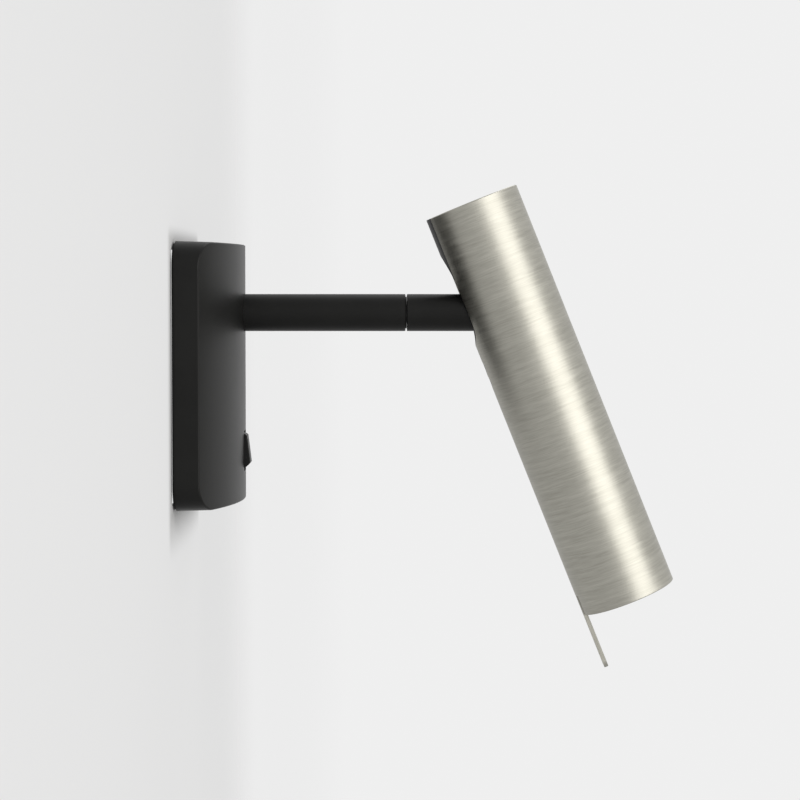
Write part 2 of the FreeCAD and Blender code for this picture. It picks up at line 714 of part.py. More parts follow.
FRONT_FACE = "(seam_place + seam_gap/2)"
REAR_FACE = "(seam_place - seam_gap/2)"
BUSH_BACK = f"({FRONT_FACE} - bush_length)"
WASHER_FRONT = f"({BUSH_BACK} - running_gap)"
NUT_FRONT = f"({WASHER_FRONT} - friction_washer_thickness)"
NUT_BACK = f"({NUT_FRONT} - swivel_nut_length)"
SPINDLE_BACK = f"({NUT_BACK} - spindle_tail)"
SOCKET_BACK = f"({SPINDLE_BACK} - socket_room)"
FRONT_ARM_START = f"({FRONT_FACE} + running_gap)"
SPINDLE_FRONT = f"({FRONT_ARM_START} + spindle_grip)"
SHOULDER_FRONT = "(hinge_place - hinge_reach)"
FRONT_ARM_END = f"({SHOULDER_FRONT} - shoulder_length)"
SPIGOT_BACK = f"({FRONT_ARM_END} - spigot_length)"
SOCKET_RADIUS = "(bush_radius + thread_gap)"
ARM_BORE = "(spindle_radius + thread_gap)"
SADDLE_BACK = "(saddle_face - saddle_sheet)"
STOP_PLACE = f"({NUT_BACK} + swivel_nut_length/2)"
SET_SCREW_PLACES = [f"{FRONT_ARM_START} + spindle_grip/2", f"{FRONT_ARM_END} - spigot_length/2"]


def rear_arm():
    edge = "rim_chamfer"
    outline = [
        ("saddle_face - stud_length", "arm_wire_bore"), ("saddle_face - stud_length", "stud_radius"),
        ("saddle_face", "stud_radius"), ("saddle_face", "arm_radius"),
        (f"{REAR_FACE} - {edge}", "arm_radius"), (REAR_FACE, f"arm_radius - {edge}"),
        (REAR_FACE, SOCKET_RADIUS), (SOCKET_BACK, SOCKET_RADIUS), (SOCKET_BACK, "arm_wire_bore"),
    ]
    pin_hole = rod("y", "stop_radius + thread_gap", "stop_reach", "arm_radius + overcut", (STOP_PLACE, "0"))
    return place(cut(turned(outline, "x"), pin_hole), ON_ARM)


def arm_lock_washer():
    return place(ring("x", "lock_washer_radius", "stud_radius + thread_gap",
                      f"{SADDLE_BACK} - lock_washer_thickness", SADDLE_BACK), ON_ARM)


def arm_nut():
    front = f"({SADDLE_BACK} - lock_washer_thickness)"
    blank = pad("YZ_Plane", hexagon("nut_radius"), f"{front} - nut_height", front)
    hole = rod("x", "stud_radius + thread_gap", "0", "saddle_face")
    return place(cut(blank, hole), ON_ARM)


def swivel_bush():
    return place(ring("x", "bush_radius", ARM_BORE, BUSH_BACK, FRONT_FACE), ON_ARM)


def stop_pin():
    pin = rod("y", "stop_radius", "stop_reach", "arm_radius - screw_end_gap", (STOP_PLACE, "0"))
    return place(group(pin), ON_ARM)


def front_arm_tube():
    edge = "rim_chamfer"
    outline = [
        (FRONT_ARM_START, ARM_BORE), (FRONT_ARM_START, f"arm_radius - {edge}"),
        (f"{FRONT_ARM_START} + {edge}", "arm_radius"), (FRONT_ARM_END, "arm_radius"),
        (FRONT_ARM_END, ARM_BORE),
    ]
    holes = [rod("y", "set_screw_radius + thread_gap", "0", "arm_radius + overcut", (x, "0"))
             for x in SET_SCREW_PLACES]
    return place(cut(turned(outline, "x"), *holes), ON_ARM)


def swivel_spindle():
    return place(ring("x", "spindle_radius", "wire_radius", SPINDLE_BACK, SPINDLE_FRONT), ON_ARM)


def swivel_friction_washer():
    return place(ring("x", "friction_washer_radius", ARM_BORE, NUT_FRONT, WASHER_FRONT), ON_ARM)


def swivel_nut():
    blank = rod("x", "swivel_nut_radius", NUT_BACK, NUT_FRONT)
    tab = block((NUT_BACK, NUT_FRONT), ("-tab_reach", "-swivel_nut_radius + fuse_lap"),
                ("-tab_width/2", "tab_width/2"))
    hole = rod("x", ARM_BORE, f"{NUT_BACK} - overcut", f"{NUT_FRONT} + overcut")
    return place(cut(fuse(blank, tab), hole), ON_ARM)


def arm_set_screws():
    return place(group(*[
        rod("y", "set_screw_radius", "spindle_radius + thread_gap", "arm_radius - screw_end_gap", (x, "0"))
        for x in SET_SCREW_PLACES
    ]), ON_ARM)


def hinge_knuckle():
    tang_start = f"({SHOULDER_FRONT} - fuse_lap)"
    spigot = rod("x", "spindle_radius", SPIGOT_BACK, f"{FRONT_ARM_END} + fuse_lap")
    shoulder = rod("x", "arm_radius", FRONT_ARM_END, SHOULDER_FRONT)
    tang = block((tang_start, "hinge_place"), ("-tang_thickness/2", "tang_thickness/2"),
                 ("-tang_radius", "tang_radius"))
    end = rod("y", "tang_radius", "-tang_thickness/2", "tang_thickness/2", ("hinge_place", "0"))
    wires = rod("x", "wire_radius", f"{SPIGOT_BACK} - overcut", f"{FRONT_ARM_END} + shoulder_length/2")
    pivot = rod("y", "hinge_bolt_radius + running_gap", "-tang_thickness", "tang_thickness",
                ("hinge_place", "0"))
    wire_exit = rod("z", "wire_exit_radius", "0", "arm_radius + overcut", (f"{FRONT_ARM_END} + shoulder_length/2", "0"))
    return place(cut(fuse(spigot, shoulder, tang, end), wires, pivot, wire_exit), ON_ARM)


# ---- head: drawn about the tube's axis, z = 0 at the hinge, -x facing the wall ----

HEAD_BORE = "(head_radius - head_wall)"
FIT_RADIUS = f"({HEAD_BORE} - inner_fit)"
PIVOT = "(-axis_offset)"
SLOT_HALF = "(arm_radius + slot_gap)"
RIM = "(-head_below)"
WASHER_INNER = "(tang_thickness/2 + running_gap)"
CHEEK_INNER = f"({WASHER_INNER} + hinge_washer_thickness)"
CHEEK_OUTER = f"({CHEEK_INNER} + cheek_thickness)"
CARRIER_TOP = "(-carrier_drop)"
CARRIER_BOTTOM = "(-carrier_drop - carrier_height)"
CARRIER_SCREW_PLACES = [f"({CARRIER_TOP} - carrier_screw_top)", f"({CARRIER_TOP} - carrier_screw_low)"]
CARRIER_SCREW_END = "(-head_radius + head_wall + carrier_screw_reach)"
BEZEL_LOW = f"({RIM} + bezel_sink)"
LENS_LOW = f"({BEZEL_LOW} + bezel_depth)"
LENS_TOP = f"({LENS_LOW} + lens_thickness)"
BOARD_LOW = f"({LENS_TOP} + reflector_height)"
SINK_LOW = f"({BOARD_LOW} + board_thickness)"
SINK_TOP = f"({SINK_LOW} + sink_length)"
CAP_TOP = "(head_above - cap_sink)"
TAB_OUTER = f"(-{HEAD_BORE} - pull_tab_thickness)"
TAB_TOP = f"({RIM} + pull_tab_root)"


def arm_way(radius):
    """The room the arm needs at the limit of tilt: a bar on the arm's line and all below it."""
    turn = place_text(PIVOT, "0", "90 - tilt_limit")
    bar = place(rod("z", radius, "0", "arm_way_reach"), turn)
    below = block(("-arm_way_reach", "0"), ("-arm_way_reach/2", "arm_way_reach/2"), ("0", "arm_way_reach"))
    return bar, place(group(below), turn)


def head_tube():
    edge = "rim_chamfer"
    outline = [
        (RIM, HEAD_BORE), (RIM, f"head_radius - {edge}"), (f"{RIM} + {edge}", "head_radius"),
        (f"head_above - {edge}", "head_radius"), ("head_above", f"head_radius - {edge}"),
        ("head_above", HEAD_BORE),
    ]
    slot = block(("-head_radius - overcut", "0"), (f"-{SLOT_HALF}", SLOT_HALF), ("0", "head_above + overcut"))
    slot_end = rod("x", SLOT_HALF, "-head_radius - overcut", "0")
    screw_holes = [rod("x", "small_screw_radius + thread_gap", "-head_radius - overcut", f"-{HEAD_BORE} + overcut",
                       ("0", z)) for z in CARRIER_SCREW_PLACES]
    sinks = [cone("x", "small_head_radius + thread_gap", "small_screw_radius + thread_gap",
                  "-head_radius - carrier_head_sink", "-head_radius + small_head_height - carrier_head_sink",
                  ("0", z)) for z in CARRIER_SCREW_PLACES]
    notch = block(("-head_radius - overcut", f"-{HEAD_BORE} + overcut"),
                  ("-pull_tab_width/2 - pull_tab_gap", "pull_tab_width/2 + pull_tab_gap"),
                  (f"{RIM} - overcut", f"{TAB_TOP} + pull_tab_gap"))
    return place(cut(turned(outline), slot, slot_end, notch, *screw_holes, *sinks), ON_HEAD)


def slot_cover():
    filler_half = f"({SLOT_HALF} - slot_cover_gap)"
    backing_half = f"({SLOT_HALF} + slot_cover_lap)"
    wall = ring("z", "head_radius - slot_cover_sink", FIT_RADIUS, "0", "head_above")
    filler = common(wall, block(("-head_radius - overcut", "0"), (f"-{filler_half}", filler_half),
                                ("0", "head_above + overcut")))
    lining = ring("z", FIT_RADIUS, f"{FIT_RADIUS} - slot_lining", "0", f"{CAP_TOP} - cap_thickness - inner_fit")
    backing = common(lining, block(("-head_radius - overcut", "0"), (f"-{backing_half}", backing_half),
                                   ("0", "head_above + overcut")))
    bar, below = arm_way(SLOT_HALF)
    return place(cut(fuse(filler, backing), bar, below), ON_HEAD)


def top_cap():
    edge = f"({FIT_RADIUS} - inner_fit)"
    top = [(f"{CAP_TOP} - cap_thickness", "0"), (f"{CAP_TOP} - cap_thickness", edge),
           (f"{CAP_TOP} - rim_chamfer", edge), (CAP_TOP, f"{edge} - rim_chamfer"), (CAP_TOP, "0")]
    return place(turned(top), ON_HEAD)


def hinge_carrier():
    base = rod("z", FIT_RADIUS, CARRIER_BOTTOM, CARRIER_TOP)
    webs = []
    for side in (-1, 1):
        span = (CHEEK_INNER, CHEEK_OUTER) if side > 0 else (f"-{CHEEK_OUTER}", f"-{CHEEK_INNER}")
        webs.append(rod("y", "cheek_radius", *span, (PIVOT, "0")))
        webs.append(block((f"{PIVOT} - cheek_radius", f"{PIVOT} + cheek_radius"), span,
                          (f"{CARRIER_TOP} - overcut", "0")))
    holes = [
        rod("y", "hinge_bolt_radius + thread_gap", "-head_radius", "head_radius", (PIVOT, "0")),
        rod("z", "rod_radius + thread_gap", f"{CARRIER_BOTTOM} - overcut", f"{CARRIER_BOTTOM} + rod_grip"),
        rod("z", "wire_radius", CARRIER_BOTTOM, f"{CARRIER_TOP} + overcut", ("carrier_wire_place", "0")),
    ]
    for z in CARRIER_SCREW_PLACES:
        holes.append(rod("x", "small_screw_radius + thread_gap", "-head_radius - overcut", CARRIER_SCREW_END,
                         ("0", z)))
    return place(cut(fuse(base, *webs), *holes), ON_HEAD)


def carrier_screws():
    pieces = []
    for z in CARRIER_SCREW_PLACES:
        head = cone("x", "small_head_radius - head_edge_gap", "small_screw_radius", "-head_radius + head_edge_gap",
                    "-head_radius + small_head_height - carrier_head_sink", ("0", z))
        shank = rod("x", "small_screw_radius", "-head_radius + small_head_height - screw_end_gap - head_edge_gap",
                    f"{CARRIER_SCREW_END} - fuse_lap", ("0", z))
        pieces.append(fuse(head, shank))
    return place(group(*pieces), ON_HEAD)


NUT_SEAT = f"({CHEEK_OUTER} + spring_washer_thickness)"


def hinge_bolt():
    shank = rod("y", "hinge_bolt_radius", f"-{CHEEK_OUTER}", f"{NUT_SEAT} + hinge_nut_height + running_gap",
                (PIVOT, "0"))
    head = rod("y", "hinge_bolt_head", f"-{CHEEK_OUTER} - hinge_bolt_head_height", f"-{CHEEK_OUTER}",
               (PIVOT, "0"))
    return place(fuse(shank, head), ON_HEAD)


def hinge_washer(low, high, radius):
    washer = rod("y", radius, low, high, (PIVOT, "0"))
    hole = rod("y", "hinge_bolt_radius + thread_gap", f"{low} - overcut", f"{high} + overcut", (PIVOT, "0"))
    return cut(washer, hole)


def hinge_friction_washers():
    return place(group(hinge_washer(WASHER_INNER, CHEEK_INNER, "hinge_washer_radius"),
                       hinge_washer(f"-{CHEEK_INNER}", f"-{WASHER_INNER}", "hinge_washer_radius")), ON_HEAD)


def hinge_spring_washer():
    return place(hinge_washer(CHEEK_OUTER, NUT_SEAT, "hinge_bolt_head"), ON_HEAD)


def hinge_nut():
    blank = pad("XZ_Plane", hexagon("hinge_nut_radius"), NUT_SEAT, f"{NUT_SEAT} + hinge_nut_height")
    hole = rod("y", "hinge_bolt_radius + thread_gap", "0", f"{NUT_SEAT} + hinge_nut_height*2")
    return place(cut(move(blank, PIVOT), move(hole, PIVOT)), ON_HEAD)


def centre_rod():
    return place(ring("z", "rod_radius", "wire_radius", f"{SINK_TOP} - rod_grip",
                      f"{CARRIER_BOTTOM} + rod_grip - screw_end_gap"), ON_HEAD)


def heat_sink():
    outer = f"({FIT_RADIUS} - inner_fit)"
    pieces = [rod("z", outer, SINK_LOW, f"{SINK_LOW} + sink_base"), rod("z", "sink_core", SINK_LOW, SINK_TOP)]
    for i in range(int(number("fin_count")) // 2):
        fin = doc.addObject("Part::Box", "Fin")
        bind(fin, Length="2*head_radius", Width="fin_thickness", Height="sink_length")
        angle = i * 360 / int(number("fin_count"))
        place(fin, f"create(<<placement>>; create(<<vector>>; 0; 0; {SINK_LOW}); create(<<rotation>>; "
                   f"create(<<vector>>; 0; 0; 1); {angle})) * create(<<placement>>; create(<<vector>>; "
                   "-head_radius; -fin_thickness/2; 0); create(<<rotation>>; create(<<vector>>; 0; 0; 1); 0))")
        pieces.append(fin)
    blank = common(fuse(*pieces), rod("z", outer, SINK_LOW, SINK_TOP))
    holes = [rod("z", "rod_radius + thread_gap", f"{SINK_TOP} - rod_grip", f"{SINK_TOP} + overcut")]
    for side in (-1, 1):
        holes.append(rod("z", "tiny_screw_radius + thread_gap", f"{SINK_LOW} - overcut",
                         f"{SINK_LOW} + sink_base - sink_hole_floor", (f"{side}*board_screw_place", "0")))
    return place(cut(blank, *holes), ON_HEAD)


def led_board():
    board = rod("z", "board_radius", BOARD_LOW, SINK_LOW)
    holes = [rod("z", "tiny_screw_radius + thread_gap", f"{BOARD_LOW} - overcut", f"{SINK_LOW} + overcut",
                 (f"{side}*board_screw_place", "0")) for side in (-1, 1)]
    return place(cut(board, *holes), ON_HEAD)


def led_emitter():
    return place(disc("z", "emitter_radius", f"{BOARD_LOW} - emitter_height", BOARD_LOW), ON_HEAD)


def board_screws():
    return place(group(*[
        screw("z", (f"{side}*board_screw_place", "0"), BOARD_LOW, -1,
              "board_thickness + sink_base - 4*screw_end_gap", "tiny_screw_radius",
              "tiny_head_radius", "tiny_head_height") for side in (-1, 1)
    ]), ON_HEAD)


def reflector():
    throat = "(emitter_radius + emitter_gap)"
    mouth = f"({FIT_RADIUS} - reflector_rim)"
    throat_height = f"({BOARD_LOW} - emitter_height)"
    outline = [
        (LENS_TOP, mouth), (LENS_TOP, FIT_RADIUS), (f"{LENS_TOP} + reflector_rim", FIT_RADIUS),
        (f"{LENS_TOP} + reflector_rim", f"{mouth} + reflector_lip"),
        (f"{throat_height} - emitter_gap", f"{throat} + reflector_wall"), (f"{throat_height} - emitter_gap", throat),
    ]
    return place(turned(outline), ON_HEAD)


def lens():
    outline = [(LENS_LOW, "0"), (LENS_LOW, f"{FIT_RADIUS} - lens_gap"), (LENS_TOP, f"{FIT_RADIUS} - lens_gap"),
               (LENS_TOP, "0")]
    return place(turned(outline), ON_HEAD)


def anti_glare_bezel():
    inner = f"({FIT_RADIUS} - bezel_wall)"
    outline = [
        (BEZEL_LOW, f"{inner} + bezel_lip"), (BEZEL_LOW, FIT_RADIUS), (LENS_LOW, FIT_RADIUS),
        (LENS_LOW, inner), (f"{BEZEL_LOW} + bezel_depth/2", inner),
    ]
    return place(turned(outline), ON_HEAD)


def pull_tab():
    """A flat strip let into a notch in the tube's wall and joined to the bezel behind it."""
    strip = pad("YZ_Plane", [
        ("-pull_tab_width/2", f"{RIM} - tab_length"), ("pull_tab_width/2", f"{RIM} - tab_length"),
        ("pull_tab_width/2", TAB_TOP), ("-pull_tab_width/2", TAB_TOP),
    ], TAB_OUTER, f"{TAB_OUTER} + pull_tab_thickness")
    doc.recompute()
    low = number(f"{RIM} - tab_length")
    rounded = doc.addObject("Part::Fillet", "TabRound")
    rounded.Base = strip
    radius = number("pull_tab_corner")
    rounded.Edges = [
        (i, radius, radius) for i, edge in enumerate(strip.Shape.Edges, start=1)
        if all(abs(vertex.Z - low) < NEAR for vertex in edge.Vertexes)
        and abs(edge.Vertexes[0].Y - edge.Vertexes[-1].Y) < NEAR
    ]
    return place(rounded, ON_HEAD)


PIECES = (
    wall_gasket, mounting_bracket, arm_saddle, saddle_rivets, backplate_cover, cover_screws,
    led_driver, driver_screws, terminal_block, terminal_screws, terminal_fixing_screws,
    earth_washer, earth_screw, switch_body, switch_screws, switch_terminals,
    rear_arm, arm_lock_washer, arm_nut, swivel_bush, stop_pin,
    rocker_paddle,
    front_arm_tube, swivel_spindle, swivel_friction_washer, swivel_nut, arm_set_screws, hinge_knuckle,
    head_tube, slot_cover, top_cap, hinge_carrier, carrier_screws, hinge_bolt,
    hinge_friction_washers, hinge_spring_washer, hinge_nut, centre_rod, heat_sink, led_board,
    led_emitter, board_screws, reflector, lens, anti_glare_bezel, pull_tab,
)
for piece in PIECES:
    node(piece.__name__, piece())
doc.recompute()

failed = [item.Label for item in doc.Objects if "Invalid" in item.State or "Error" in item.State]
bad = [item.Label for item in nodes if item.Shape.isNull() or not item.Shape.isValid()]
if failed or bad:
    raise RuntimeError(f"failed objects: {failed}; bad shapes: {bad}")

os.makedirs("parts", exist_ok=True)
for item in nodes:
    item.Shape.exportStep(os.path.join("parts", item.Label + ".step"))
    box = item.Shape.BoundBox
    print(f"{item.Label}: {len(item.Shape.Solids)} solids, {item.Shape.Volume:.1f} mm3, "
          f"x {box.XMin:.2f} {box.XMax:.2f}, y {box.YMin:.2f} {box.YMax:.2f}, z {box.ZMin:.2f} {box.ZMax:.2f}")
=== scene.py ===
# %% [markdown]
# # A bedside wall reading lamp
# The lamp has a satin black backplate, a black arm that turns, and a brushed nickel
# tube that tilts and holds the light.  It comes here as a frame of named nodes in
# metres, each on the body that it moves with.  They already have their true shapes, so
# this lesson gives them their finishes, sets up the camera and the light, and makes
# five nodes of small round pieces again with the detail that the solids leave out.

# %% load the frame
import json
import math

import bmesh
import bpy
from mathutils import Matrix, Vector


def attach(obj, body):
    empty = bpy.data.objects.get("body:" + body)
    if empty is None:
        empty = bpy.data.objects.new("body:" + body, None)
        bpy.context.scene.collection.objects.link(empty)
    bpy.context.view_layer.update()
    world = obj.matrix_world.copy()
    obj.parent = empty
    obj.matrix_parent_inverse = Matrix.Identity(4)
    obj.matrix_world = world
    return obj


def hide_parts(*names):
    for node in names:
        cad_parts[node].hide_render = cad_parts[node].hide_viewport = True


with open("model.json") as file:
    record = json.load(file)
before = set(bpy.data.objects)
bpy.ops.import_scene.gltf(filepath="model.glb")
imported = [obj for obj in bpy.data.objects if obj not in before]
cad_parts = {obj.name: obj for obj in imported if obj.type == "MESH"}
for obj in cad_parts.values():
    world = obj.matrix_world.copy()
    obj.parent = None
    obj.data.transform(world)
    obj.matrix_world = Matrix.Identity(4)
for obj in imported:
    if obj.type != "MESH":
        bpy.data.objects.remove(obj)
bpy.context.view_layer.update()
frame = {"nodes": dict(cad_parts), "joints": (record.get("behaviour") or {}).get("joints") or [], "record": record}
nodes = frame["nodes"]
joints = {joint["name"]: joint for joint in frame["joints"]}
MM = 0.001

# %% [markdown]
# ## The camera
# The photograph is a long lens view from the side.  A camera can be placed by eye, but
# the perspective of the plate and the arm gives its place: just off the wall, level
# with the arm and looking a little down.  That place is used, so that the proportions
# can be compared with the photograph.  The lens has no shift and the camera no roll.

# %% camera
CAMERA_PLACE = Vector((75.17, -833.0, 29.7)) * MM
CAMERA_PITCH_DOWN = math.radians(2.716)
LENS_MM = 107.1
SENSOR_MM = 36.0

camera_data = bpy.data.cameras.new("camera")
camera_data.lens = LENS_MM
camera_data.sensor_width = SENSOR_MM
camera = bpy.data.objects.new("camera", camera_data)
camera.location = CAMERA_PLACE
camera.rotation_euler = (math.pi / 2 - CAMERA_PITCH_DOWN, 0, 0)
bpy.context.scene.collection.objects.link(camera)
bpy.context.scene.camera = camera
bpy.context.scene.view_settings.view_transform = "Standard"
print("camera at", [round(value, 3) for value in camera.location])

# %% [markdown]
# ## Writing shaders as sums
# A material is a graph of nodes.  Its nodes can be made and wired one by one, but then
# a short sum takes many lines.  Wrapping a socket in a small class lets the graph be
# written as ordinary expressions: adding two wrapped sockets adds a Math node.


# %% the socket class
class Value:
    """What varies over a surface or a sky: one output socket of a graph."""

    def __init__(self, graph, socket):
        self.graph = graph
        self.socket = socket

    def maths(self, operation, *others):
        """A Math node with this value in its first socket."""
        return self.graph.node("ShaderNodeMath", {"operation": operation}, self, *others)

    def __add__(self, other):
        return self.maths("ADD", other)

    __radd__ = __add__

    def __mul__(self, other):
        return self.maths("MULTIPLY", other)

    __rmul__ = __mul__

    def __sub__(self, other):
        return self.maths("SUBTRACT", other)

    def __rsub__(self, other):
        return self.graph.node("ShaderNodeMath", {"operation": "SUBTRACT"}, other, self)


print("wrapped sockets add, subtract and multiply")

# %% [markdown]
# ## One way to make a node
# Every node comes from one method, which takes its type, its settings, and what goes
# into its sockets.  A wrapped socket is linked, and a plain value is set.  Each kind of
# node could have a function of its own, but one method is less to learn, and the same
# class then serves the materials and the world.


# %% the graph class
class Graph:
    """A node tree, with the one method that makes every node in it."""

    def __init__(self, tree):
        self.tree = tree

    def fill(self, socket, value):
        """Links a wrapped socket to this one, and sets any other value on it."""
        if isinstance(value, Value):
            self.tree.links.new(value.socket, socket)
        else:
            socket.default_value = value

    def node(self, kind, settings=None, *inputs, output=0, at=None, **named):
        """Inputs fill the sockets in order, `at` fills them by index, and names by name."""
        made = self.tree.nodes.new(kind)
        for name, value in (settings or {}).items():
            setattr(made, name, value)
        by_name = {name.replace("_", " "): value for name, value in named.items()}
        for key, value in {**dict(enumerate(inputs)), **(at or {}), **by_name}.items():
            self.fill(made.inputs[key], value)
        return Value(self, made.outputs[output])


print("graphs ready")

# %% [markdown]
# ## What a finish is made of
# Each finish is one Principled shader.  What is the same all over is set on its sockets,
# and what varies comes from noise.  The noise is read at the place on the piece in
# metres.  Unwrapped coordinates would do too, but they need seams, while a place needs
# none, stays with the piece as it moves, and keeps one grain on pieces of every size.


# %% the finish class
class Finish(Graph):
    """A material's graph round its one Principled shader."""

    def __init__(self, name, **uniform):
        self.material = bpy.data.materials.new(name)
        self.material.use_nodes = True
        super().__init__(self.material.node_tree)
        self.shader = self.tree.nodes["Principled BSDF"]
        self.feed(**uniform)

    def feed(self, **values):
        """Fills the shader's sockets by name, with _ for a space."""
        for name, value in values.items():
            self.fill(self.shader.inputs[name.replace("_", " ")], value)

    def place(self):
        """The place on the piece in metres."""
        return self.node("ShaderNodeTexCoord", output="Object")

    def along(self, axis):
        """How far along one axis the place lies, in metres."""
        return self.node("ShaderNodeSeparateXYZ", None, self.place(), output=axis)

    def noise(self, place, scale, detail=2.0, roughness=0.5):
        """Soft random values round 0.5, with scale waves to the metre."""
        return self.node("ShaderNodeTexNoise", None, Vector=place, Scale=scale, Detail=detail,
                         Roughness=roughness)

    def ramp(self, value, low, high):
        """Stretches a narrow band of a value to the whole of 0 to 1."""
        return self.node("ShaderNodeMapRange", {"interpolation_type": "SMOOTHSTEP"},
                         value, low, high, 0.0, 1.0)

    def mix(self, factor, first, second):
        """Colours go through a Mix node, since a Math node would turn them grey."""
        return self.node("ShaderNodeMix", {"data_type": "RGBA"}, output=2,
                         at={0: factor, 6: first, 7: second})

    def bump(self, height, distance):
        """Tilts the light over the surface as if it rose by distance metres."""
        return self.node("ShaderNodeBump", None, Strength=1.0, Distance=distance, Height=height)


print("finishes ready")

# %% [markdown]
# ## Colours
# Shaders mix light in linear values, while a colour picked on a screen has curved ones.
# Linear values could be written straight down, but they are hard to judge.  So colours
# are written as they look on a screen, and this function straightens them.


# %% colours
def rgb(red, green, blue):
    """A colour as it is picked on a screen, turned into the linear one that shaders use."""
    def linear(value):
        value /= 255
        return value / 12.92 if value <= 0.04045 else ((value + 0.055) / 1.055) ** 2.4
    return (linear(red), linear(green), linear(blue), 1.0)


print("middle grey is", round(rgb(128, 128, 128)[0], 3), "in linear light")

# %% [markdown]
# ## Satin black powder coat
# The plate is cast and powder coated: nearly black, with the fine orange peel that the
# powder leaves as it melts.  As real geometry it would take millions of faces.  A small
# bump and an uneven roughness give the same broken highlight, so those are used.  The
# arm is the same black in a smoother paint, and the rocker and screws lie close to it.

# %% black finishes
PAINT_SPECULAR = 0.16
CLOUD_SCALE = 60.0
CLOUD_SHADE = 0.8
CLOUD_BAND = (0.35, 0.65)
GRAIN_DULLS = 0.12
CLOUD_DULLS = 0.06


def black_paint(name, colour, roughness, grain_scale, grain_height):
    """Black with a grain of grain_scale waves to the metre, grain_height metres high."""
    finish = Finish(name, Specular_IOR_Level=PAINT_SPECULAR, IOR=1.5)
    place = finish.place()
    cloud = finish.noise(place, CLOUD_SCALE, detail=3.0)
    grain = finish.noise(place, grain_scale, roughness=0.6)
    shaded = tuple(value * CLOUD_SHADE for value in colour[:3]) + (1.0,)
    finish.feed(
        Base_Color=finish.mix(finish.ramp(cloud, *CLOUD_BAND), shaded, colour),
        Roughness=roughness + (grain - 0.5) * GRAIN_DULLS + (cloud - 0.5) * CLOUD_DULLS,
        Normal=finish.bump(grain, grain_height),
    )
    return finish.material


BLACKS = {
    "satin_black": (rgb(25, 25, 24), 0.38, 2600.0, 0.00002),
    "arm_black": (rgb(24, 24, 23), 0.42, 3200.0, 0.00001),
    "black_plastic": (rgb(24, 24, 24), 0.42, 2200.0, 0.000015),
    "black_screws": (rgb(26, 26, 27), 0.35, 1500.0, 0.00001),
}
FINISHES = {name: black_paint(name, *look) for name, look in BLACKS.items()}
print("blacks:", ", ".join(FINISHES))

# %% [markdown]
# ## The tube's own axes
# The scratches follow the tube, which leans at rest.  Each piece of the head could carry
# its own direction, but then neighbours wouldn't line up.  Turning every place upright
# about the hinge gives the whole head one set of axes: Z runs along the tube, and the
# tube's middle line is at 0.  The hinge and the lean come from the frame's joint.

# %% axes of the tube
HINGE = Vector(joints["head_tilt"]["pos_m"])
REST_TILT = -math.radians(joints["head_tilt"]["range_deg"][0])
AXIS_OFFSET = Vector((3.9, 0, 0)) * MM


def tube_place(finish):
    """The place on the piece, as if the tube stood upright on the origin."""
    upright = finish.node("ShaderNodeVectorRotate", {"rotation_type": "Y_AXIS"},
                          Vector=finish.place(), Center=tuple(HINGE), Angle=REST_TILT)
    return finish.node("ShaderNodeMapping", None, Vector=upright,
                       Location=tuple(-HINGE - AXIS_OFFSET))


def ringed_place(finish):
    """The same place with the distance from the axis as its height, so that it rings."""
    flat = finish.node("ShaderNodeVectorMath", {"operation": "MULTIPLY"}, tube_place(finish), (1, 1, 0))
    radius = finish.node("ShaderNodeVectorMath", {"operation": "LENGTH"}, flat, output="Value")
    raised = finish.node("ShaderNodeCombineXYZ", None, 0.0, 0.0, radius)
    return finish.node("ShaderNodeVectorMath", {"operation": "ADD"}, flat, raised)


print("tube leans", round(math.degrees(REST_TILT), 2), "degrees about",
      [round(value / MM, 2) for value in HINGE])

# %% [markdown]
# ## Brushed nickel
# The tube is turned on a lathe against an abrasive belt, so its scratches run round it.
# An anisotropic shader could stretch the highlight, but it would leave out the single
# scratches that the photograph shows.  So they are a noise that changes fast across
# them and slowly along them, and it drives the colour, the roughness and a very fine
# bump.  The cap on top is spun, which gives rings, and the pull tab is a drawn strip.

# %% brushed nickel
FINE_WAVES = {"along": 120.0, "across": 2600.0}
BAND_WAVES = {"along": 26.0, "across": 760.0}
TOUCH_SCALE = 55.0
NICKEL_DARK, NICKEL_LIGHT = rgb(155, 153, 144), rgb(182, 180, 171)
NICKEL_ROUGHNESS = 0.37
FINE_RAMP, BAND_RAMP, TOUCH_RAMP = (0.25, 0.75), (0.30, 0.70), (0.45, 0.75)
FINE_SHARE, BAND_SHARE = 0.7, 0.3
SCRATCH_DULLS, TOUCH_DULLS = 0.09, 0.03
SCRATCH_HEIGHT = 0.000009


def scratches(finish, place, waves, drawn, detail, roughness):
    """Noise squashed into scratches: across the tube's axis, or along it where drawn."""
    along, across = waves["along"], waves["across"]
    scale = (across, across, along) if drawn else (along, along, across)
    squashed = finish.node("ShaderNodeMapping", None, Vector=place, Scale=scale)
    return finish.noise(squashed, 1.0, detail=detail, roughness=roughness)


def brushed_nickel(name, place_on=tube_place, drawn=False, dull=0.0):
    """Nickel with fine scratches, wider bands of them, and patches dulled by hands."""
    finish = Finish(name, Metallic=1.0)
    place = place_on(finish)
    fine = scratches(finish, place, FINE_WAVES, drawn, 3.0, 0.65)
    band = scratches(finish, place, BAND_WAVES, drawn, 2.0, 0.6)
    touched = finish.ramp(finish.noise(place, TOUCH_SCALE, detail=3.0), *TOUCH_RAMP)
    tone = finish.ramp(fine, *FINE_RAMP) * FINE_SHARE + finish.ramp(band, *BAND_RAMP) * BAND_SHARE
    finish.feed(
        Base_Color=finish.mix(tone, NICKEL_DARK, NICKEL_LIGHT),
        Roughness=NICKEL_ROUGHNESS + dull + tone * SCRATCH_DULLS + touched * TOUCH_DULLS,
        Normal=finish.bump(fine, SCRATCH_HEIGHT),
    )
    return finish.material


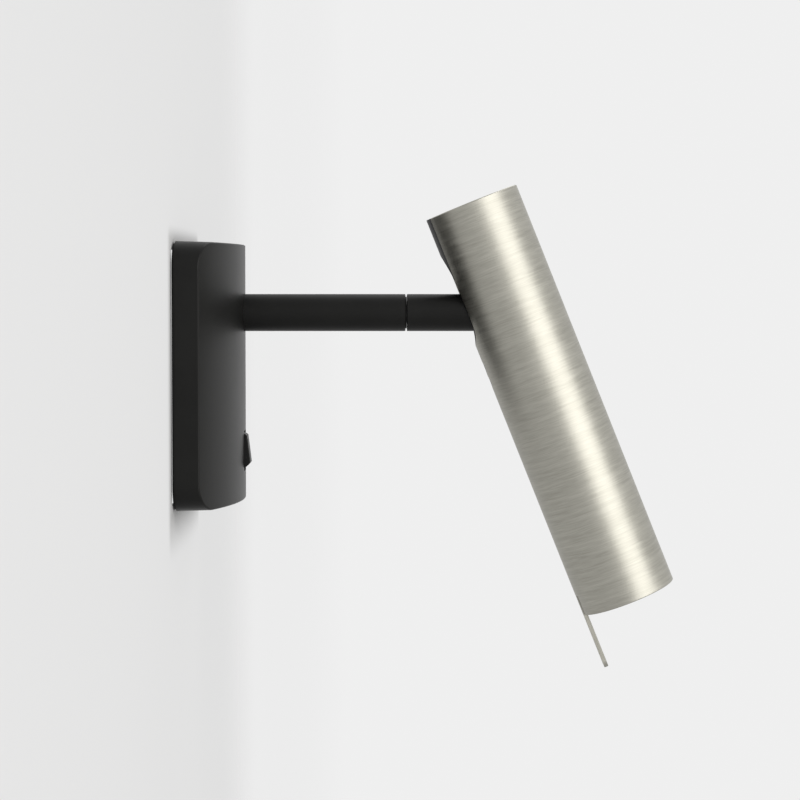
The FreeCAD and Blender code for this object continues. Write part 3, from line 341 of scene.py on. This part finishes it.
FINISHES["brushed_nickel"] = brushed_nickel("brushed_nickel")
SPUN_NICKEL = brushed_nickel("spun_nickel", ringed_place)
DRAWN_NICKEL = brushed_nickel("drawn_nickel", drawn=True, dull=0.08)
print("nickel:", FINISHES["brushed_nickel"].name, SPUN_NICKEL.name, DRAWN_NICKEL.name)

# %% [markdown]
# ## The finishes inside
# The bracket is zinc plated, bushes are brass, and the light engine has an aluminium
# heat sink, a white board, a bright reflector and a frosted lens.  Few of them show, so
# a plain colour could do, but an even colour looks like plastic when the lamp is turned
# round.  One recipe serves them all: slow blotches between two near colours, and a fine
# grain in the roughness and the bump.

# %% inner finishes
BLOTCH_BAND = (0.3, 0.7)
GRAIN_SPREAD = 0.15
GRAIN_HEIGHT = 0.00001
FROST_SCALE, FROST_DULLS, FROST_HEIGHT = 1800.0, 0.12, 0.00002
LENS_ROUGHNESS = 0.42


def grained(finish, dark, light, roughness, grain, blotch):
    """Fills a finish from a grain and a blotch, both noises."""
    finish.feed(
        Base_Color=finish.mix(finish.ramp(blotch, *BLOTCH_BAND), dark, light),
        Roughness=roughness + (grain - 0.5) * GRAIN_SPREAD,
        Normal=finish.bump(grain, GRAIN_HEIGHT),
    )
    return finish.material


def metal(name, dark, light, roughness, grain_scale=900.0, blotch_scale=90.0):
    finish = Finish(name, Metallic=1.0)
    place = finish.place()
    return grained(finish, dark, light, roughness, finish.noise(place, grain_scale, detail=3.0),
                   finish.noise(place, blotch_scale))


def plastic(name, dark, light, roughness, grain_scale=1500.0, blotch_scale=70.0):
    finish = Finish(name, IOR=1.5)
    place = finish.place()
    return grained(finish, dark, light, roughness, finish.noise(place, grain_scale),
                   finish.noise(place, blotch_scale))


def frosted_lens(name):
    """The lens is off and frosted, so it looks like a pale matt plastic."""
    finish = Finish(name, IOR=1.49)
    frost = finish.noise(finish.place(), FROST_SCALE)
    finish.feed(
        Base_Color=finish.mix(frost, rgb(222, 224, 222), rgb(240, 241, 238)),
        Roughness=LENS_ROUGHNESS + frost * FROST_DULLS,
        Normal=finish.bump(frost, FROST_HEIGHT),
    )
    return finish.material


print("recipes for metal, plastic and the lens")

# %% the finishes by slot
METALS = {
    "zinc_plate": (rgb(164, 167, 170), rgb(178, 181, 184), 0.42, 1800.0, 420.0),
    "bush_brass": (rgb(196, 164, 96), rgb(216, 186, 118), 0.28),
    "cast_carrier": (rgb(176, 177, 178), rgb(196, 197, 198), 0.48, 1400.0),
    "sink_aluminium": (rgb(196, 198, 200), rgb(214, 216, 218), 0.30),
    "mirror_finish": (rgb(228, 229, 230), rgb(238, 239, 240), 0.10, 300.0),
}
PLASTICS = {
    "foam_rubber": (rgb(18, 18, 18), rgb(26, 26, 26), 0.85, 3000.0),
    "white_plastic": (rgb(222, 222, 218), rgb(234, 234, 230), 0.45),
    "phosphor": (rgb(228, 190, 84), rgb(240, 208, 104), 0.35),
}
FINISHES.update({name: metal(name, *look) for name, look in METALS.items()})
FINISHES.update({name: plastic(name, *look) for name, look in PLASTICS.items()})
FINISHES["clear_lens"] = frosted_lens("clear_lens")
print("finishes by slot:", len(FINISHES))

# %% [markdown]
# ## Giving each node its finish
# The record names a material slot for each node, so the finishes are handed out from
# it.  A list of nodes in this file would do the same, but it could go out of step.  Only
# the cap and the pull tab differ, because their nickel is worked in another direction.

# %% hand out the finishes
slot_of = {part["node"]: part["material_slot"] for part in frame["record"]["subparts"]}
for name, obj in nodes.items():
    obj.data.materials.clear()
    obj.data.materials.append(FINISHES[slot_of[name]])
for name, finish in {"top_cap": SPUN_NICKEL, "pull_tab": DRAWN_NICKEL}.items():
    nodes[name].data.materials[0] = finish
print("finished", len(nodes), "nodes")

# %% [markdown]
# ## Pieces with their real detail
# The solids leave out what only shows close up: the sockets of the screws, the baffle
# rings inside the bezel and the fine steps of the lens.  Cutting these with booleans
# leaves long thin faces that shade badly.  All of these pieces are round, so one
# function lofts them from rings, which keeps the faces even.  A ring has a height, a
# radius and an outline, and the outline is a hexagon where a socket goes in.


# %% outlines of a ring
def circle(angle):
    """A round ring is at its radius all the way round."""
    return 1.0


def hexagon(angle):
    """Distance to a hexagon's side, where its corners are at 1."""
    sixth = math.pi / 3
    return math.cos(sixth / 2) / math.cos(angle % sixth - sixth / 2)


print("a hexagon's sides are nearest at", round(hexagon(math.pi / 6), 3), "of its corners")


# %% loft
def loft(mesh, rings, matrix, steps, closed=False):
    """Adds a skin over rings of (height, radius, outline) in millimetres, along local Z."""
    loops = []
    for height, radius, outline in rings:
        loop = []
        for step in range(steps):
            angle = 2 * math.pi * step / steps
            reach = radius * outline(angle)
            corner = Vector((reach * math.cos(angle), reach * math.sin(angle), height)) * MM
            loop.append(mesh.verts.new(matrix @ corner))
        loops.append(loop)
    pairs = list(zip(loops, loops[1:])) + ([(loops[-1], loops[0])] if closed else [])
    for low, high in pairs:
        for step in range(steps):
            after = (step + 1) % steps
            mesh.faces.new((low[step], low[after], high[after], high[step]))
    if not closed:
        for loop in (loops[0], loops[-1]):
            mesh.faces.new(loop)


print("loft ready")

# %% [markdown]
# ## Putting a piece in its place
# A finished skin becomes an object that rides on a body and stands in for the frame's
# nodes.  Smooth shading rounds its sides, and edges sharper than an angle stay crisp.
# Bevels would do that too, at many times the faces.

# %% place a piece
SHARP_EDGE = math.radians(28)


def piece(name, mesh, body, slot, *replaced):
    """Turns a skin into an object on a body, in place of the nodes that it details."""
    bmesh.ops.recalc_face_normals(mesh, faces=mesh.faces)
    data = bpy.data.meshes.new(name)
    mesh.to_mesh(data)
    mesh.free()
    data.shade_smooth()
    data.set_sharp_from_angle(angle=SHARP_EDGE)
    data.materials.append(FINISHES[slot])
    obj = bpy.data.objects.new(name, data)
    bpy.context.scene.collection.objects.link(obj)
    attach(obj, body)
    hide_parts(*replaced)
    print(name, len(data.polygons), "faces")


print("edges over", round(math.degrees(SHARP_EDGE)), "degrees stay sharp")

# %% [markdown]
# ### Countersunk screws
# Two countersunk screws hold the cover from below.  A screw could be a cone with a
# hexagon cut out of it, but one skin needs no cutting: it starts on the socket's drilled
# floor, climbs its six sides, turns over the rim and runs down the cone and the shank.

# %% cover screws
SCREW_STEPS = 48
DRILLED_FLOOR, SIDES_END, RIM_SPREAD = 0.55, 0.85, 1.12
RIM_LEAD, HEAD_EDGE, HEAD_ROUND, SHANK_POINT = 0.08, 0.12, 0.1, 0.4
HEAD_RADIUS, SHANK_RADIUS, SOCKET_RADIUS, SOCKET_DEPTH = 2.45, 1.5, 1.0, 0.9
COVER_SCREW_SIDE, COVER_SCREW_FROM_WALL = 26.0, 4.7
COVER_SCREW_FACE, COVER_SCREW_CONE, COVER_SCREW_TIP = -44.6, 1.2, -39.4


def hex_socket(face, radius, depth, lead, way=1):
    """Rings from a socket's drilled floor to its rim at face; it goes in along way."""
    return [
        (face + way * depth, radius * DRILLED_FLOOR, circle),
        (face + way * depth * SIDES_END, radius, hexagon),
        (face + way * lead, radius, hexagon), (face, radius * RIM_SPREAD, circle),
    ]


def countersunk(face, cone_depth, tip):
    """Rings of a countersunk screw whose head shows at face and that runs up to tip."""
    return hex_socket(face, SOCKET_RADIUS, SOCKET_DEPTH, RIM_LEAD) + [
        (face, HEAD_RADIUS - HEAD_EDGE, circle), (face + HEAD_ROUND, HEAD_RADIUS, circle),
        (face + cone_depth, SHANK_RADIUS, circle), (tip - SHANK_POINT, SHANK_RADIUS, circle),
        (tip, SHANK_RADIUS - SHANK_POINT, circle),
    ]


mesh = bmesh.new()
for side in (-COVER_SCREW_SIDE, COVER_SCREW_SIDE):
    place = Matrix.Translation(Vector((COVER_SCREW_FROM_WALL, side, 0)) * MM)
    loft(mesh, countersunk(COVER_SCREW_FACE, COVER_SCREW_CONE, COVER_SCREW_TIP), place, SCREW_STEPS)
piece("cover_screws_detail", mesh, "wall_base", "black_screws", "cover_screws")

# %% [markdown]
# ### Screws in the back of the head
# Two more screws of the same kind hold the hinge carrier inside the tube.  Their places
# are measured on the upright tube, which is simpler than working them out as it leans,
# and one matrix then tips them about the hinge.

# %% carrier screws
HEAD_PLACE = (Matrix.Translation(HINGE) @ Matrix.Rotation(-REST_TILT, 4, "Y")
              @ Matrix.Translation(AXIS_OFFSET))
ALONG_X = Matrix.Rotation(math.pi / 2, 4, "Y")
CARRIER_SCREW_HEIGHTS = (-15.6, -21.0)
CARRIER_SCREW_FACE, CARRIER_SCREW_CONE, CARRIER_SCREW_TIP = -16.85, 1.15, -10.0

mesh = bmesh.new()
for height in CARRIER_SCREW_HEIGHTS:
    place = HEAD_PLACE @ Matrix.Translation(Vector((0, 0, height)) * MM) @ ALONG_X
    loft(mesh, countersunk(CARRIER_SCREW_FACE, CARRIER_SCREW_CONE, CARRIER_SCREW_TIP), place, SCREW_STEPS)
piece("carrier_screws_detail", mesh, "head", "black_screws", "carrier_screws")

# %% [markdown]
# ### Set screws in the arm
# Two headless screws on the arm's far side lock its tube.  The screws above could be
# used again with a head as wide as the shank, but that leaves a cone of no depth.  So
# these go from the socket's rim straight to their outside, with a bevel at both ends.

# %% arm set screws
ARM_PLACE = Matrix.Translation((0, 0, HINGE.z))
ALONG_Y = Matrix.Rotation(-math.pi / 2, 4, "X")
SET_SCREWS_FROM_WALL = (83.55, 96.4)
SET_SCREW_FACE, SET_SCREW_TIP, SET_SCREW_RADIUS = 6.28, 3.65, 1.5
SET_SOCKET_RADIUS, SET_SOCKET_DEPTH, SET_RIM_LEAD = 0.8, 1.2, 0.06
FACE_BEVEL, TIP_BEVEL = 0.2, 0.3


def grub(face, tip, radius):
    """Rings of a headless screw: its socket opens at face."""
    way = 1 if tip > face else -1
    return hex_socket(face, SET_SOCKET_RADIUS, SET_SOCKET_DEPTH, SET_RIM_LEAD, way) + [
        (face, radius - FACE_BEVEL, circle), (face + way * FACE_BEVEL, radius, circle),
        (tip - way * TIP_BEVEL, radius, circle), (tip, radius - TIP_BEVEL, circle),
    ]


mesh = bmesh.new()
for from_wall in SET_SCREWS_FROM_WALL:
    place = ARM_PLACE @ Matrix.Translation(Vector((from_wall, 0, 0)) * MM) @ ALONG_Y
    loft(mesh, grub(SET_SCREW_FACE, SET_SCREW_TIP, SET_SCREW_RADIUS), place, SCREW_STEPS)
piece("arm_set_screws_detail", mesh, "front_arm", "black_screws", "arm_set_screws")

# %% [markdown]
# ### Bezel
# The bezel hides the lens from the side, and fine baffle rings inside it swallow stray
# light.  An array of thin rings could be laid on its wall, but they would be loose
# pieces.  Here the section goes up the outside, over the top and down the inside in
# steps, and the loft closes it into one skin.

# %% bezel
ROUND_STEPS = 128
BEZEL_LOW, BEZEL_TOP = -108.6, -98.6
BEZEL_OUTER, BEZEL_INNER, BEZEL_MOUTH = 15.4, 13.0, 14.44
BEZEL_EDGE, MOUTH_EDGE = 0.12, 0.15
BAFFLE_PITCH, BAFFLE_DEPTH, BAFFLE_START, BAFFLE_LIP = 0.9, 0.38, 0.5, 0.06
GROOVE_END, SLOPE_END = 0.45, 0.85


def bezel_inner(height):
    """The inside radius: straight at first, then flaring to the mouth."""
    flare_start = (BEZEL_LOW + BEZEL_TOP) / 2
    share = max(0.0, (flare_start - height) / (flare_start - BEZEL_LOW))
    return BEZEL_INNER + share * (BEZEL_MOUTH - BEZEL_INNER)


def baffle(height):
    """Rings of one baffle: a lip, a groove behind it and a slope to the next."""
    radius = bezel_inner(height)
    return [
        (height, radius, circle), (height - BAFFLE_LIP, radius + BAFFLE_DEPTH, circle),
        (height - BAFFLE_PITCH * GROOVE_END, radius + BAFFLE_DEPTH, circle),
        (height - BAFFLE_PITCH * SLOPE_END, bezel_inner(height - BAFFLE_PITCH), circle),
    ]


rings = [
    (BEZEL_LOW, BEZEL_OUTER - BEZEL_EDGE, circle), (BEZEL_LOW + BEZEL_EDGE, BEZEL_OUTER, circle),
    (BEZEL_TOP, BEZEL_OUTER, circle), (BEZEL_TOP, BEZEL_INNER, circle),
]
height = BEZEL_TOP - BAFFLE_START
while height > BEZEL_LOW + BAFFLE_PITCH:
    rings += baffle(height)
    height -= BAFFLE_PITCH
rings += [(BEZEL_LOW + MOUTH_EDGE, BEZEL_MOUTH, circle), (BEZEL_LOW, BEZEL_MOUTH + BEZEL_EDGE, circle)]
mesh = bmesh.new()
loft(mesh, rings, HEAD_PLACE, ROUND_STEPS, closed=True)
piece("bezel_detail", mesh, "head", "black_plastic", "anti_glare_bezel")

# %% [markdown]
# ### Lens
# The lens is moulded with shallow concentric steps that spread the light.  A bump could
# fake them, but they catch real edges of light when seen from below, so they are
# lofted: each step rises slowly and drops at once, and a plain back closes the lens.

# %% lens
LENS_LOW, LENS_TOP, LENS_RADIUS = -98.6, -96.2, 15.1
LENS_PITCH, LENS_STEP, STEP_DROP, STEP_FOOT = 0.9, 0.22, 0.08, 0.02
LENS_EDGE, LENS_BORDER, LENS_MIDDLE = 0.1, 1.0, 0.3

rings = [(LENS_LOW + LENS_STEP, LENS_MIDDLE, circle)]
radius = LENS_PITCH
while radius < LENS_RADIUS - LENS_PITCH:
    rings += [(LENS_LOW + STEP_FOOT, radius - STEP_DROP, circle), (LENS_LOW + LENS_STEP, radius, circle)]
    radius += LENS_PITCH
rings += [
    (LENS_LOW, LENS_RADIUS - LENS_BORDER, circle), (LENS_LOW, LENS_RADIUS - LENS_EDGE, circle),
    (LENS_LOW + LENS_EDGE, LENS_RADIUS, circle), (LENS_TOP - LENS_EDGE, LENS_RADIUS, circle),
    (LENS_TOP, LENS_RADIUS - LENS_EDGE, circle), (LENS_TOP, LENS_MIDDLE, circle),
]
mesh = bmesh.new()
loft(mesh, rings, HEAD_PLACE, ROUND_STEPS)
piece("lens_detail", mesh, "head", "clear_lens", "lens")

# %% [markdown]
# ## The backdrop's even tone
# In the photograph the wall is one even tone with only a breath of shadow.  Stronger
# lamps could light it to that tone, but they would wash out the lamp as well.  So most
# of what the camera, metal and glass see of the wall is an even glow, and a smaller
# part is lit for real and takes the shadow.

# %% backdrop tone
BACKDROP = 0.865
GLOW_SHARE = 0.72


def seen_directly(graph):
    """1 for rays that show the backdrop itself, 0 for those that only carry its light."""
    camera_ray, glossy_ray, transmission_ray = (
        graph.node("ShaderNodeLightPath", output=f"Is {kind} Ray")
        for kind in ("Camera", "Glossy", "Transmission"))
    return graph.node("ShaderNodeClamp", None, camera_ray + glossy_ray + transmission_ray)


print("backdrop", BACKDROP, "of which", GLOW_SHARE, "glows")

# %% [markdown]
# ## Painted contact shade by the plate, and where the wall fades
# Close to the plate the even glow gives way to the real light, which is dimmer. So a band
# of painted contact shade darkens the wall round the plate, and the plate's real shadow
# deepens it within that band.  The band reaches less far beside and above the plate than
# below it, as under light from above.  Far behind the lamp the wall would end in an edge,
# so it fades into the world, which has the same tone.  Both are worked out from the place
# on the wall.  Masks in an image could do it, but these follow the plate's size.

# %% masks on the wall
plate = nodes["backplate_cover"]
plate_corners = [plate.matrix_world @ corner.co for corner in plate.data.vertices]
PLATE_HALF_WIDTH = max(corner.y for corner in plate_corners)
PLATE_HALF_HEIGHT = max(corner.z for corner in plate_corners)
# The painted contact shade round the plate: the squeezes shorten it beside and above the plate, and it lifts
# between SHADE_START and SHADE_END metres.
SIDE_SQUEEZE, TOP_SQUEEZE = 1.5, 3.0
SHADE_START, SHADE_END = -0.002, 0.018
NEAR_FADE, NEAR_SHARE = (0.14, 0.42), 0.8
FAR_FADE, FAR_SHARE = (0.40, 2.6), 0.2


def painted_contact_shade_mask(finish):
    """A mask that paints contact shade: 0 right beside the plate, where the shade is full, and 1 some 2 cm below
    it; less far at its sides and top.
    """
    across, up = finish.along("Y"), finish.along("Z")
    beside = ((across.maths("ABSOLUTE") - PLATE_HALF_WIDTH) * SIDE_SQUEEZE).maths("MAXIMUM", 0.0)
    above = (up - PLATE_HALF_HEIGHT) * TOP_SQUEEZE
    outside = (-PLATE_HALF_HEIGHT - up).maths("MAXIMUM", above).maths("MAXIMUM", 0.0)
    distance = (beside * beside + outside * outside).maths("SQRT")
    return finish.ramp(distance, SHADE_START, SHADE_END)


def fade_behind_lamp(finish):
    """A quick fade behind the plate and a slow one beyond it."""
    depth = finish.along("Y")
    return finish.ramp(depth, *NEAR_FADE) * NEAR_SHARE + finish.ramp(depth, *FAR_FADE) * FAR_SHARE


print("plate is", round(2 * PLATE_HALF_WIDTH / MM, 2), "by", round(2 * PLATE_HALF_HEIGHT / MM, 2), "mm")

# %% [markdown]
# ## Wall and floor
# The lamp hangs on a pale wall that the camera looks along.  A closed room would block
# every view from behind, so the wall is clear from its back, where the plate's inside
# can then be seen.  It is also open behind the plate, as over a wall box, and light
# reaches that inside.  A floor below sends some light up at the lamp.

# %% wall and floor
WALL_X = -0.0003
WALL_ALBEDO, FLOOR_ALBEDO, STAGE_ROUGHNESS = 0.60, 0.40, 0.9
WALL_LOW, WALL_HIGH = (-1.4, -1.2), (2.6, 1.2)
BOX_INSET = 0.003
FLOOR_Z, FLOOR_HALF = -0.7, 1.5


def stage_surface(name, corners, faces, albedo, painted_shade_glow_mask=None, fade=None):
    """A matt surface that glows evenly except where a mask paints shade, is clear from behind, and may fade out.
    """
    mesh = bpy.data.meshes.new(name)
    mesh.from_pydata(corners, [], faces)
    obj = bpy.data.objects.new(name, mesh)
    bpy.context.scene.collection.objects.link(obj)
    finish = Finish(name, Roughness=STAGE_ROUGHNESS, Specular_IOR_Level=0.0,
                    Base_Color=(albedo, albedo, albedo, 1.0))
    share = seen_directly(finish) * GLOW_SHARE
    # Where the mask falls to 0 the glow gives way to the dimmer lit wall: painted shade.
    if painted_shade_glow_mask:
        share = share * painted_shade_glow_mask(finish)
    lit = Value(finish, finish.shader.outputs[0])
    glow = finish.node("ShaderNodeEmission", None, Strength=BACKDROP)
    even = finish.node("ShaderNodeMixShader", None, share, lit, glow)
    unseen = finish.node("ShaderNodeNewGeometry", output="Backfacing")
    if fade:
        unseen = finish.node("ShaderNodeClamp", None, unseen + fade(finish))
    clear = finish.node("ShaderNodeBsdfTransparent")
    shown = finish.node("ShaderNodeMixShader", None, unseen, even, clear)
    finish.fill(finish.tree.nodes["Material Output"].inputs["Surface"], shown)
    mesh.materials.append(finish.material)


def rectangle(low, high):
    """The four corners between two opposite ones, counted round from low."""
    return [low, (high[0], low[1]), high, (low[0], high[1])]


box_corner = (PLATE_HALF_WIDTH - BOX_INSET, PLATE_HALF_HEIGHT - BOX_INSET)
wall_corners = rectangle(WALL_LOW, WALL_HIGH) + rectangle(tuple(-side for side in box_corner), box_corner)
floor_corners = rectangle((-FLOOR_HALF, -FLOOR_HALF), (FLOOR_HALF, FLOOR_HALF))
wall_faces = [(side, (side + 1) % 4, 4 + (side + 1) % 4, 4 + side) for side in range(4)]
# The wall's glow gives way close to the plate, which paints a contact shade round it.
stage_surface("wall", [(WALL_X, y, z) for y, z in wall_corners], wall_faces, WALL_ALBEDO,
              painted_contact_shade_mask, fade_behind_lamp)
stage_surface("floor", [(x, y, FLOOR_Z) for x, y in floor_corners], [(0, 1, 2, 3)], FLOOR_ALBEDO)
print("wall opens over", [round(2 * side / MM) for side in box_corner], "mm behind the plate")

# %% [markdown]
# ## The world's light
# A picture of a studio could light the lamp, but a gradient is enough and needs no file.
# It lights matt surfaces, dim behind the camera and brighter beyond the lamp.  What the
# camera, metal and glass see of the world is the even backdrop.

# %% world
DIM_SIDE, BRIGHT_SIDE = -0.7, 0.6
DIM_LEVEL, BRIGHT_LEVEL = 0.30, 0.66

world = bpy.data.worlds.new("studio")
bpy.context.scene.world = world
world.use_nodes = True
sky = Graph(world.node_tree)
direction = sky.node("ShaderNodeTexCoord", output="Generated")
beyond = sky.node("ShaderNodeSeparateXYZ", None, direction, output="Y")
level = sky.node("ShaderNodeMapRange", None, beyond, DIM_SIDE, BRIGHT_SIDE, DIM_LEVEL, BRIGHT_LEVEL)
shown = seen_directly(sky)
background = world.node_tree.nodes["Background"]
background.inputs["Color"].default_value = (1, 1, 1, 1)
sky.fill(background.inputs["Strength"], level * (1 - shown) + shown * BACKDROP)
print("world from", DIM_LEVEL, "to", BRIGHT_LEVEL)

# %% [markdown]
# ## Softboxes
# The broad band down the nickel tube is the reflection of a large soft light on the
# camera's right.  Many small lamps could fill the scene evenly, but metal shows each of
# them, so one wide softbox draws the band and a weak one lifts the top edges.

# %% lamps
OBJECT_MIDDLE = (0.10, 0.0, 0.0)
KEY_PLACE, KEY_WIDTH, KEY_HEIGHT, KEY_POWER = (1.00, -0.95, 0.25), 1.15, 1.4, 12.5
KEY_COLOUR = (1.0, 0.99, 0.965)
TOP_PLACE, TOP_SIZE, TOP_POWER = (0.45, 0.55, 0.90), 0.8, 2.5


def softbox(name, place, width, height, power, colour=(1, 1, 1)):
    """A rectangular light that faces the lamp's middle."""
    data = bpy.data.lights.new(name, "AREA")
    data.shape = "RECTANGLE"
    data.size = width
    data.size_y = height
    data.energy = power
    data.color = colour
    light = bpy.data.objects.new(name, data)
    light.location = place
    light.rotation_euler = (Vector(OBJECT_MIDDLE) - Vector(place)).to_track_quat("-Z", "Y").to_euler()
    bpy.context.scene.collection.objects.link(light)
    print(name, "softbox,", power, "W")


softbox("key", KEY_PLACE, KEY_WIDTH, KEY_HEIGHT, KEY_POWER, KEY_COLOUR)
softbox("top", TOP_PLACE, TOP_SIZE, TOP_SIZE, TOP_POWER)
